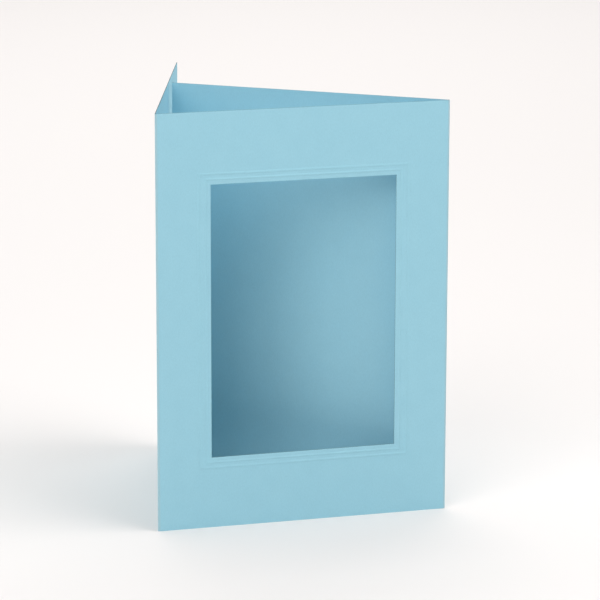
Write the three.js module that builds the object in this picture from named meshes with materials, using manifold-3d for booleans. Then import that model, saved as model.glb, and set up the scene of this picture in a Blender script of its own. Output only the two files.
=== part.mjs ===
// A passe-partout card: one sheet of coloured card, creased twice into three upright panels.
// The middle panel has a die-cut window with two embossed lines round it. The back panel turns
// back from its left crease, the flap from its right one, and the card stands on their lower edges.
// Millimetres, Z up. X runs along the window panel, whose outer face looks along -Y.
// The origin is under the middle of the standing card's box.
import * as THREE from "three";
import { mergeVertices } from "three/addons/utils/BufferGeometryUtils.js";
import Module from "manifold-3d";

// The sheet. A panel's width runs from the outside of its fold to its free edge, or to the other fold.
const cardThickness = 0.3;
const cardHeight = 169;
const windowPanelWidth = 120;
const backPanelWidth = 120;
const flapWidth = 118;

// The creases. The sheet's inner face turns round foldRadius, and the bead that the creasing rule
// raised fills the inside of the fold and stands this far past that radius.
const foldRadius = 0.2;
const creaseBead = 0.12;

// How it stands: the flap's free edge comes this far along the back panel, and stops this short of it.
const flapReach = 70.3;
const flapGap = 1.35;

// The window, by the border that is left beside it and at its two ends.
const sideBorder = 22;
const endBorder = 29;

// The embossed lines. The middle of each lies this far outside the window's edge.
const lineHeight = 0.15;
const innerLineWidth = 1.4;
const innerLineAtSides = 2.05;
const innerLineAtEnds = 2.05;
const outerLineWidth = 1.6;
const outerLineAtSides = 4.9;
const outerLineAtEnds = 4.2;

// How fine the round stretches are cut, how far the window's die runs past the sheet's faces, and how
// far a line's solid reaches into the sheet that it joins.
const arcSteps = 6;
const lineSteps = 8;
const dieOverrun = 1;
const lineRoot = 0.1;

const cardColour = 0x9fd0df;

const wasm = await Module();
wasm.setup();

// A closed three.js geometry as a manifold-3d solid.
function toSolid(geometry) {
  const bare = geometry.clone();
  bare.deleteAttribute("normal");
  bare.deleteAttribute("uv");
  const merged = mergeVertices(bare, 1e-5);
  const vertProperties = merged.attributes.position.array;
  const triVerts = new Uint32Array(merged.index.array);
  return new wasm.Manifold(new wasm.Mesh({ numProp: 3, vertProperties, triVerts }));
}

// A manifold-3d solid as a three.js geometry.
function toGeometry(solid) {
  const mesh = solid.getMesh();
  const geometry = new THREE.BufferGeometry();
  geometry.setAttribute("position", new THREE.BufferAttribute(mesh.vertProperties, 3));
  geometry.setIndex(new THREE.BufferAttribute(mesh.triVerts, 1));
  geometry.computeVertexNormals();
  return geometry;
}

// The folded card seen from above. Each fold turns round a centre on the X axis.
const outerRadius = foldRadius + cardThickness;
const foldSpan = windowPanelWidth - 2 * outerRadius;
const leftFold = new THREE.Vector2(-foldSpan / 2, 0);
const rightFold = new THREE.Vector2(foldSpan / 2, 0);
const outerFaceY = -outerRadius;
const innerFaceY = -foldRadius;
const windowWidth = windowPanelWidth - 2 * sideBorder;
const windowHeight = cardHeight - 2 * endBorder;

// The angles between the window panel and the other two, from the triangle that the flap's free edge
// makes with the fold centres. Its inner corner is off the line of each panel by a known amount.
function foldAngles() {
  const offBack = flapGap - foldRadius;
  const flapLength = flapWidth - outerRadius;
  const toLeft = Math.hypot(flapReach, offBack);
  const toRight = Math.hypot(flapLength, foldRadius);
  const cornerAngle = (a, b, opposite) => Math.acos((a * a + b * b - opposite * opposite) / (2 * a * b));
  return {
    back: cornerAngle(foldSpan, toLeft, toRight) + Math.atan2(offBack, flapReach),
    flap: cornerAngle(foldSpan, toRight, toLeft) - Math.atan2(foldRadius, flapLength),
  };
}

// The outline of the sheet's upper edge: out along one side of the three panels and home along the other.
function cardOutline() {
  const angle = foldAngles();
  const alongBack = new THREE.Vector2(Math.cos(angle.back), Math.sin(angle.back));
  const alongFlap = new THREE.Vector2(-Math.cos(angle.flap), Math.sin(angle.flap));
  const backOutward = angle.back + Math.PI / 2;
  const flapOutward = Math.PI / 2 - angle.flap;
  const windowOutward = -Math.PI / 2;
  const beadRadius = foldRadius + creaseBead;
  const beadStart = Math.acos(foldRadius / beadRadius);

  // A point on a panel, this far along it from its fold's centre and this far outward from that centre.
  const onPanel = (fold, along, length, outward, offset) =>
    new THREE.Vector2(Math.cos(outward), Math.sin(outward))
      .multiplyScalar(offset)
      .add(fold)
      .addScaledVector(along, length);
  const onBack = (offset) =>
    onPanel(leftFold, alongBack, backPanelWidth - outerRadius, backOutward, offset);
  const onFlap = (offset) =>
    onPanel(rightFold, alongFlap, flapWidth - outerRadius, flapOutward, offset);
  const fullTurn = 2 * Math.PI;

  const shape = new THREE.Shape([onBack(foldRadius), onBack(outerRadius)]);
  const turn = (fold, radius, from, to) => shape.absarc(fold.x, fold.y, radius, from, to, false);
  turn(leftFold, outerRadius, backOutward, windowOutward + fullTurn);
  turn(rightFold, outerRadius, windowOutward, flapOutward);
  shape.lineTo(...onFlap(outerRadius));
  shape.lineTo(...onFlap(foldRadius));
  turn(rightFold, beadRadius, flapOutward + beadStart, windowOutward - beadStart + fullTurn);
  turn(leftFold, beadRadius, windowOutward + beadStart, backOutward - beadStart);
  shape.closePath();
  return shape;
}

// The folded sheet, standing on Z = 0.
function foldedSheet() {
  return new THREE.ExtrudeGeometry(cardOutline(), {
    depth: cardHeight,
    curveSegments: arcSteps,
    bevelEnabled: false,
  });
}

// The die that cuts the window.
function windowDie() {
  const depth = cardThickness + 2 * (lineHeight + dieOverrun);
  return new THREE.BoxGeometry(windowWidth, depth, windowHeight).translate(
    0,
    (outerFaceY + innerFaceY) / 2,
    cardHeight / 2,
  );
}

// One embossed line as a solid ring whose crest looks along -Y and whose foot is at Y = 0. A lathe with
// four sides turns the section into a mitred square ring, whose corners then move out to the rectangle's.
function embossedLine(width, atSides, atEnds) {
  const squareHalf = width;
  const section = [];
  for (let i = 0; i <= lineSteps; i++) {
    const across = i / lineSteps;
    const rise = (lineHeight / 2) * (1 - Math.cos(2 * Math.PI * across));
    section.push(new THREE.Vector2(squareHalf + width * (0.5 - across), rise));
  }
  section.push(new THREE.Vector2(squareHalf - width / 2, -lineRoot));
  section.push(new THREE.Vector2(squareHalf + width / 2, -lineRoot));
  section.push(section[0].clone());
  for (const point of section) point.x *= Math.SQRT2;

  const ring = new THREE.LatheGeometry(section, 4, Math.PI / 4);
  const moveX = windowWidth / 2 + atSides - squareHalf;
  const moveZ = windowHeight / 2 + atEnds - squareHalf;
  const position = ring.attributes.position;
  for (let i = 0; i < position.count; i++) {
    position.setX(i, position.getX(i) + Math.sign(position.getX(i)) * moveX);
    position.setZ(i, position.getZ(i) + Math.sign(position.getZ(i)) * moveZ);
  }
  return ring.rotateX(Math.PI).translate(0, 0, cardHeight / 2);
}

// The card: the folded sheet, raised along each line outside and sunk by as much inside, less the window.
function foldedCard() {
  const lines = [
    embossedLine(innerLineWidth, innerLineAtSides, innerLineAtEnds),
    embossedLine(outerLineWidth, outerLineAtSides, outerLineAtEnds),
  ];
  let sheet = toSolid(foldedSheet());
  for (const line of lines) {
    const ring = toSolid(line);
    sheet = sheet.add(ring.translate([0, outerFaceY, 0]));
    sheet = sheet.subtract(ring.translate([0, innerFaceY, 0]));
  }
  return toGeometry(sheet.subtract(toSolid(windowDie())));
}

const cardMaterial = new THREE.MeshStandardMaterial({
  name: "light_blue_card",
  color: cardColour,
  roughness: 0.85,
  metalness: 0,
});

const card = new THREE.Mesh(foldedCard(), cardMaterial);
card.name = "folded_card";
card.geometry.computeBoundingBox();
const middleOfBox = card.geometry.boundingBox.getCenter(new THREE.Vector3());
card.position.set(-middleOfBox.x, -middleOfBox.y, 0);

const passePartoutCard = new THREE.Group();
passePartoutCard.name = "passe_partout_card";
passePartoutCard.add(card);

export default passePartoutCard;
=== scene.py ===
# A light blue passe-partout card, standing on a pale studio floor.
# Metres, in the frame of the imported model: Z up, the window panel's outer face toward -Y.
import math

import bmesh
import bpy
from mathutils import Matrix, Vector


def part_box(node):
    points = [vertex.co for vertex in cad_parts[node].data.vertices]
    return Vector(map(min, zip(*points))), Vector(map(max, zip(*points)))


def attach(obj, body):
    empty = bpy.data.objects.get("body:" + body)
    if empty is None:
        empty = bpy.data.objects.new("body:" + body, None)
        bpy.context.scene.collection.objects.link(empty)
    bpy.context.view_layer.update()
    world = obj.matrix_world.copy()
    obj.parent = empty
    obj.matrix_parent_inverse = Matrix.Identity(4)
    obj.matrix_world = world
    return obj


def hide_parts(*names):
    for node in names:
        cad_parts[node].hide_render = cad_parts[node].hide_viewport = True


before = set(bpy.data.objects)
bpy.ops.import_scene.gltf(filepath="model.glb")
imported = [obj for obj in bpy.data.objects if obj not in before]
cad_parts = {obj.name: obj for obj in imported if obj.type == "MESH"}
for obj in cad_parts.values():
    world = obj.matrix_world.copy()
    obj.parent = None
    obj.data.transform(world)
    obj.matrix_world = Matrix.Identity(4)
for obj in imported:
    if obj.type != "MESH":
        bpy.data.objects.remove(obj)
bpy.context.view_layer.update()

MM = 0.001

# The sheet and its folds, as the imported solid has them.
SHEET = 0.3 * MM
FOLD_RADIUS = 0.2 * MM
CREASE_BEAD = 0.12 * MM
BACK_PANEL = 120 * MM
FLAP = 118 * MM
FLAP_REACH = 70.3 * MM
FLAP_GAP = 1.35 * MM

# The window and the embossed lines round it.
SIDE_BORDER = 22 * MM
END_BORDER = 29 * MM
LINE_HEIGHT = 0.15 * MM
# Each line's width, and how far its middle lies outside the window at the sides and at the ends.
LINES = (
    (1.4 * MM, 2.05 * MM, 2.05 * MM),
    (1.6 * MM, 4.9 * MM, 4.2 * MM),
)

# How fine the mesh is. A holding strip keeps the shading of a curve off the flat face beside it, and
# beside a fold it is wide enough for the foot of the bead.
LINE_STEPS = 14
FOLD_STEPS = 16
HOLDING_STRIP = 0.12 * MM
FOLD_STRIP = 0.36 * MM
CUT_ROUNDING = 0.025 * MM
CUT_STEPS = 2

# Shading is smooth up to the first angle between two faces. From the second on it is a cut edge.
SHARP_ANGLE = math.radians(18)
CUT_ANGLE = math.radians(70)

# The camera, from the photograph's perspective: its place, its turns, and its lens and sensor in mm.
CAMERA_PLACE = Vector((-0.3449, -1.288, 0.4023))
CAMERA_YAW = math.radians(-15.585)
CAMERA_PITCH = math.radians(-13.678)
CAMERA_ROLL = math.radians(-0.132)
CAMERA_LENS = 198.8
CAMERA_SENSOR = 36.0

# How far the floor reaches from the card, and the even light's strength as a share of white.
FLOOR_REACH = 4
WALL_LIGHT = 0.22

low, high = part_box("folded_card")
OUTER_RADIUS = FOLD_RADIUS + SHEET
OUTER_FACE = low.y + LINE_HEIGHT
FOLD_LINE = OUTER_FACE + OUTER_RADIUS
HEIGHT = high.z
LEFT_FOLD = Vector((low.x + OUTER_RADIUS, FOLD_LINE, 0))
RIGHT_FOLD = Vector((high.x - OUTER_RADIUS, FOLD_LINE, 0))


# Colours

def linear(hex_colour):
    """An sRGB hex colour as the linear RGBA that the sockets hold."""
    channels = [int(hex_colour[i:i + 2], 16) / 255 for i in (1, 3, 5)]
    toned = [c / 12.92 if c <= 0.04045 else ((c + 0.055) / 1.055) ** 2.4 for c in channels]
    return (*toned, 1.0)


# Nodes

def add(tree, kind, **values):
    """Adds a node. Each value is a link, an input's value or a setting of the node.

    An input is named by its label with spaces as underscores, or as in_0, in_1 where labels repeat."""
    node = tree.nodes.new(kind)
    labels = {socket.name.replace(" ", "_"): socket for socket in reversed(node.inputs)}
    labels.update({f"in_{i}": socket for i, socket in enumerate(node.inputs)})
    for name, value in values.items():
        if name not in labels:
            setattr(node, name, value)
        elif isinstance(value, bpy.types.NodeSocket):
            tree.links.new(value, labels[name])
        else:
            labels[name].default_value = value
    return node


def new_material(name):
    material = bpy.data.materials.new(name)
    material.use_nodes = True
    tree = material.node_tree
    tree.nodes.clear()
    return material, tree


def grain_coordinates(tree, position, squeeze=0.35):
    """Coordinates squeezed along the folds, because the fibres mostly run that way."""
    return add(tree, "ShaderNodeMapping", Vector=position, Scale=(1, 1, squeeze)).outputs[0]


def per_metre(size):
    """The scale of a noise pattern whose blotches have this size."""
    return 1 / size


# Uncoated card, dyed through and smoothed between steel rolls. It gives the eye a soft matt blue with a
# barely clouded colour, a fine tooth where light grazes it, and paler fibres where a fold has opened it.
def uncoated_card():
    material, tree = new_material("uncoated_dyed_card")
    position = add(tree, "ShaderNodeTexCoord").outputs["Object"]
    grain = grain_coordinates(tree, position)

    clouds = add(
        tree, "ShaderNodeTexNoise", Vector=position, Scale=per_metre(7 * MM), Detail=2.0, Roughness=0.5
    )
    # Real fibres are about 0.03 mm wide. They are drawn ten times as coarse, to show at this size.
    fibres = add(
        tree, "ShaderNodeTexNoise", Vector=grain, Scale=per_metre(0.32 * MM), Detail=3.0, Roughness=0.6
    )
    clouded = add(
        tree, "ShaderNodeMix", data_type="RGBA", in_0=clouds.outputs[0],
        in_6=linear("#9CD0E1"), in_7=linear("#A1D4E4"),
    )
    fibrous = add(
        tree, "ShaderNodeMapRange", Value=fibres.outputs[0], From_Min=0.3, From_Max=0.7,
        To_Min=0.965, To_Max=1.025,
    )
    toned = add(
        tree, "ShaderNodeMix", data_type="RGBA", blend_type="MULTIPLY", in_0=1.0,
        in_6=clouded.outputs[2], in_7=fibrous.outputs[0],
    )
    colour = add(
        tree, "ShaderNodeMix", data_type="RGBA", in_0=opened_fold(tree, position, fibres),
        in_6=toned.outputs[2], in_7=linear("#A9C6CF"),
    )
    tooth = add(
        tree, "ShaderNodeBump", Height=fibres.outputs[0], Strength=0.35, Distance=0.02 * MM
    )
    surface = add(
        tree, "ShaderNodeBsdfPrincipled", Base_Color=colour.outputs[2], Normal=tooth.outputs[0],
        Roughness=0.86, IOR=1.5, Specular_IOR_Level=0.3,
    )
    add(tree, "ShaderNodeOutputMaterial", Surface=surface.outputs[0])
    return material


def opened_fold(tree, position, fibres):
    """How far a fold has opened the fibres: most at the fold itself, unevenly, and fading out beside it."""
    flat = add(tree, "ShaderNodeVectorMath", operation="MULTIPLY", in_0=position, in_1=(1, 1, 0))
    nearness = [
        add(tree, "ShaderNodeVectorMath", operation="DISTANCE", in_0=flat.outputs[0], in_1=fold).outputs[1]
        for fold in (LEFT_FOLD, RIGHT_FOLD)
    ]
    nearest = add(tree, "ShaderNodeMath", operation="MINIMUM", in_0=nearness[0], in_1=nearness[1])
    opened = add(
        tree, "ShaderNodeMapRange", Value=nearest.outputs[0], From_Min=0.95 * OUTER_RADIUS,
        From_Max=1.35 * OUTER_RADIUS, To_Min=0.8, To_Max=0.0,
    )
    broken = add(
        tree, "ShaderNodeMath", operation="MULTIPLY", in_0=opened.outputs[0], in_1=fibres.outputs[0],
    )
    return add(tree, "ShaderNodeMath", operation="MULTIPLY", in_0=broken.outputs[0], in_1=1.6).outputs[0]


# The same card where the die has cut it, darker and greyer than the faces, in faint streaks along the
# sheet.
# The rough fibre ends give it a little of that. The rest is painted shade: dark colour standing in for the
# shade on the thin edges.
def cut_edge_painted_shade():
    material, tree = new_material("die_cut_card_edge")
    position = add(tree, "ShaderNodeTexCoord").outputs["Object"]
    streaks = add(
        tree, "ShaderNodeTexNoise", Vector=position, Scale=per_metre(0.12 * MM), Detail=2.0, Roughness=0.7
    )
    # Painted shade: both edge colours are much darker than the card's own blue.
    colour = add(
        tree, "ShaderNodeMix", data_type="RGBA", in_0=streaks.outputs[0],
        in_6=linear("#4E646B"), in_7=linear("#64797F"),
    )
    burr = add(
        tree, "ShaderNodeBump", Height=streaks.outputs[0], Strength=0.6, Distance=0.02 * MM
    )
    surface = add(
        tree, "ShaderNodeBsdfPrincipled", Base_Color=colour.outputs[2], Normal=burr.outputs[0],
        Roughness=0.95, IOR=1.5, Specular_IOR_Level=0.2,
    )
    add(tree, "ShaderNodeOutputMaterial", Surface=surface.outputs[0])
    return material


# Seamless background paper for the floor. It gives the eye an even white with no gloss, a little warmer
# than the light, so that the card's blue doesn't tint it.
def seamless_paper():
    material, tree = new_material("seamless_background_paper")
    surface = add(
        tree, "ShaderNodeBsdfPrincipled", Base_Color=linear("#EBE7E5"), Roughness=0.95, IOR=1.5,
        Specular_IOR_Level=0.1,
    )
    add(tree, "ShaderNodeOutputMaterial", Surface=surface.outputs[0])
    return material


# The card

def fold_angles():
    """The window panel's angles to the back panel and to the flap.

    They come from the triangle of the fold centres and the inner corner of the flap's free edge."""
    span = RIGHT_FOLD.x - LEFT_FOLD.x
    off_back = FLAP_GAP - FOLD_RADIUS
    straight_flap = FLAP - OUTER_RADIUS
    to_left = math.hypot(FLAP_REACH, off_back)
    to_right = math.hypot(straight_flap, FOLD_RADIUS)

    def between(a, b, opposite):
        return math.acos((a * a + b * b - opposite * opposite) / (2 * a * b))

    back = between(span, to_left, to_right) + math.atan2(off_back, FLAP_REACH)
    flap = between(span, to_right, to_left) - math.atan2(FOLD_RADIUS, straight_flap)
    return back, flap


def rims():
    """The rectangles from the window's rim out to the folds: half width, half height and rise."""
    half_width = (high.x - low.x) / 2 - SIDE_BORDER
    half_height = HEIGHT / 2 - END_BORDER
    yield half_width, half_height, 0
    for width, at_sides, at_ends in LINES:
        section = [(-width / 2 - HOLDING_STRIP, 0)]
        for step in range(LINE_STEPS + 1):
            across = step / LINE_STEPS
            section.append((width * (across - 0.5), LINE_HEIGHT / 2 * (1 - math.cos(2 * math.pi * across))))
        section.append((width / 2 + HOLDING_STRIP, 0))
        for off, rise in section:
            yield half_width + at_sides + off, half_height + at_ends + off, rise
    half_span = (RIGHT_FOLD.x - LEFT_FOLD.x) / 2
    yield half_span - FOLD_STRIP, HEIGHT / 2 - HOLDING_STRIP, 0
    yield half_span, HEIGHT / 2, 0


def only(kind, geometry):
    """The vertices, edges or faces among a mixed list."""
    return [item for item in geometry if isinstance(item, kind)]


def window_panel(bm):
    """The middle panel, drawn out from the window's rim over the embossed lines and then thickened."""
    bmesh.ops.create_grid(bm, x_segments=1, y_segments=1, size=1)
    bmesh.ops.rotate(bm, verts=bm.verts, matrix=Matrix.Rotation(math.radians(90), 3, "X"))
    bmesh.ops.delete(bm, geom=bm.faces[:], context="FACES_ONLY")
    rim = bm.edges[:]
    corners = bm.verts[:]
    for count, (half_width, half_height, rise) in enumerate(rims()):
        if count:
            drawn = bmesh.ops.extrude_edge_only(bm, edges=rim)["geom"]
            rim = only(bmesh.types.BMEdge, drawn)
            corners = only(bmesh.types.BMVert, drawn)
        for corner in corners:
            corner.co.x = math.copysign(half_width, corner.co.x)
            corner.co.y = OUTER_FACE - rise
            corner.co.z = math.copysign(half_height, corner.co.z)
    bmesh.ops.translate(bm, verts=bm.verts, vec=(0, 0, HEIGHT / 2))
    inner = bmesh.ops.extrude_face_region(bm, geom=bm.faces[:], use_keep_orig=True)["geom"]
    bmesh.ops.translate(bm, verts=only(bmesh.types.BMVert, inner), vec=(0, SHEET, 0))
    bmesh.ops.recalc_face_normals(bm, faces=bm.faces)


def end_face(bm, fold):
    """The face across the sheet at a fold."""
    return next(
        f for f in bm.faces
        if all(abs(v.co.x - fold.x) < 1e-7 for v in f.verts) and abs(f.normal.x) > 0.9
    )


def drawn_on(bm, face, move):
    """Draws the sheet on from its end face."""
    moved = bmesh.ops.extrude_face_region(bm, geom=[face, *face.edges])["geom"]
    bmesh.ops.translate(bm, verts=only(bmesh.types.BMVert, moved), vec=move)
    return only(bmesh.types.BMFace, moved)[0]


def fold_and_panel(bm, fold, interior_angle, length, way):
    """Bends the sheet round one fold and runs it on flat. way is 1 on the right and -1 on the left."""
    turn = math.pi - interior_angle
    face = end_face(bm, fold)
    before = set(bm.verts) - set(face.verts)
    spun = bmesh.ops.spin(
        bm, geom=[face, *face.edges, *face.verts], cent=fold, axis=(0, 0, way), angle=turn,
        steps=FOLD_STEPS, use_duplicate=False,
    )["geom_last"]
    inside = [
        v for v in bm.verts if v not in before and (v.co - fold).xy.length < FOLD_RADIUS + SHEET / 2
    ]
    along = Vector((way * math.cos(turn), math.sin(turn), 0))
    strip = drawn_on(bm, only(bmesh.types.BMFace, spun)[0], along * FOLD_STRIP)
    drawn_on(bm, strip, along * (length - OUTER_RADIUS - FOLD_STRIP))
    raise_bead(inside, fold, turn, way)


def raise_bead(inside, fold, turn, way):
    """Moves the inside of a fold out to the round bead that the creasing rule left there."""
    bead_radius = FOLD_RADIUS + CREASE_BEAD
    foot = math.acos(FOLD_RADIUS / bead_radius)
    first = 1.5 * math.pi - foot
    last = turn - 0.5 * math.pi + foot
    for vert in inside:
        at = vert.co - fold
        bent = math.atan2(way * at.x, -at.y) / turn
        angle = first + (last - first) * bent
        vert.co.x = fold.x + way * bead_radius * math.cos(angle)
        vert.co.y = fold.y + bead_radius * math.sin(angle)


def is_cut(face):
    """A cut face is square to the folds' line, or exactly as wide as the sheet is thick."""
    return abs(face.normal.z) > 0.9 or any(
        abs(edge.calc_length() - SHEET) < 0.01 * SHEET and edge.calc_face_angle(0) > CUT_ANGLE
        for edge in face.edges
    )


def soften_cuts(bm):
    """Marks the faces that the die and the knife left, and rounds their edges a little."""
    bm.normal_update()
    for face in bm.faces:
        face.material_index = int(is_cut(face))
    bmesh.ops.bevel(
        bm, geom=[e for e in bm.edges if e.calc_face_angle(0) > CUT_ANGLE], offset=CUT_ROUNDING,
        offset_type="OFFSET", affect="EDGES", segments=CUT_STEPS, profile=0.5, material=-1,
        clamp_overlap=True,
    )


def folded_card():
    bm = bmesh.new()
    window_panel(bm)
    back_angle, flap_angle = fold_angles()
    fold_and_panel(bm, LEFT_FOLD, back_angle, BACK_PANEL, -1)
    fold_and_panel(bm, RIGHT_FOLD, flap_angle, FLAP, 1)
    bmesh.ops.recalc_face_normals(bm, faces=bm.faces)
    soften_cuts(bm)
    for face in bm.faces:
        face.smooth = True
    mesh = bpy.data.meshes.new("card_sheet")
    bm.to_mesh(mesh)
    bm.free()
    mesh.set_sharp_from_angle(angle=SHARP_ANGLE)
    card = bpy.data.objects.new("card_sheet", mesh)
    bpy.context.scene.collection.objects.link(card)
    mesh.materials.append(uncoated_card())
    mesh.materials.append(cut_edge_painted_shade())
    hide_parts("folded_card")
    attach(card, "root")


# The studio

def studio_floor():
    bm = bmesh.new()
    bmesh.ops.create_grid(bm, x_segments=1, y_segments=1, size=FLOOR_REACH)
    mesh = bpy.data.meshes.new("studio_floor")
    bm.to_mesh(mesh)
    bm.free()
    mesh.materials.append(seamless_paper())
    floor = bpy.data.objects.new("studio_floor", mesh)
    bpy.context.scene.collection.objects.link(floor)


def softbox(name, place, target, size, watts):
    """A square area light that looks at a point and stays out of the picture."""
    data = bpy.data.lights.new(name, "AREA")
    data.shape = "SQUARE"
    data.size = size
    data.energy = watts
    light = bpy.data.objects.new(name, data)
    light.location = place
    light.rotation_euler = (Vector(target) - Vector(place)).to_track_quat("-Z", "Y").to_euler()
    light.visible_camera = False
    bpy.context.scene.collection.objects.link(light)


def studio_lights():
    """Soft light, most of it from the left. The last box is for the floor far behind the card."""
    middle = (0, 0, HEIGHT / 2)
    softbox("left_softbox", (-0.73, -0.81, 0.88), middle, 0.9, 6.0)
    softbox("low_left_softbox", (-1.15, -0.665, 0.32), middle, 0.9, 2.6)
    softbox("rear_left_softbox", (-0.77, 0.645, 0.99), middle, 0.9, 3.0)
    softbox("overhead_softbox", (0, 0, 1.4), middle, 0.9, 2.7)
    softbox("boom_softbox", (0.35, -0.295, 0.74), middle, 0.6, 3.6)
    softbox("backdrop_softbox", (0.4, 1.3, 1.2), (0.4, 1.3, 0), 1.6, 17.5)


def white_walls():
    """The weak, even light that a white studio sends back from all sides."""
    world = bpy.data.worlds.new("white_walls")
    bpy.context.scene.world = world
    world.use_nodes = True
    tree = world.node_tree
    tree.nodes.clear()
    background = add(tree, "ShaderNodeBackground", Color=(1, 1, 1, 1), Strength=WALL_LIGHT)
    add(tree, "ShaderNodeOutputWorld", Surface=background.outputs[0])


def camera():
    data = bpy.data.cameras.new("camera")
    data.lens = CAMERA_LENS
    data.sensor_width = CAMERA_SENSOR
    data.clip_start = 0.01
    data.clip_end = 20
    studio_camera = bpy.data.objects.new("camera", data)
    turned = (
        Matrix.Rotation(CAMERA_YAW, 4, "Z")
        @ Matrix.Rotation(CAMERA_PITCH, 4, "X")
        @ Matrix.Rotation(CAMERA_ROLL, 4, "Y")
        @ Matrix.Rotation(math.radians(90), 4, "X")
    )
    studio_camera.matrix_world = Matrix.Translation(CAMERA_PLACE) @ turned
    bpy.context.scene.collection.objects.link(studio_camera)
    bpy.context.scene.camera = studio_camera


camera()
folded_card()
studio_floor()
studio_lights()
white_walls()
bpy.context.scene.view_settings.view_transform = "Standard"
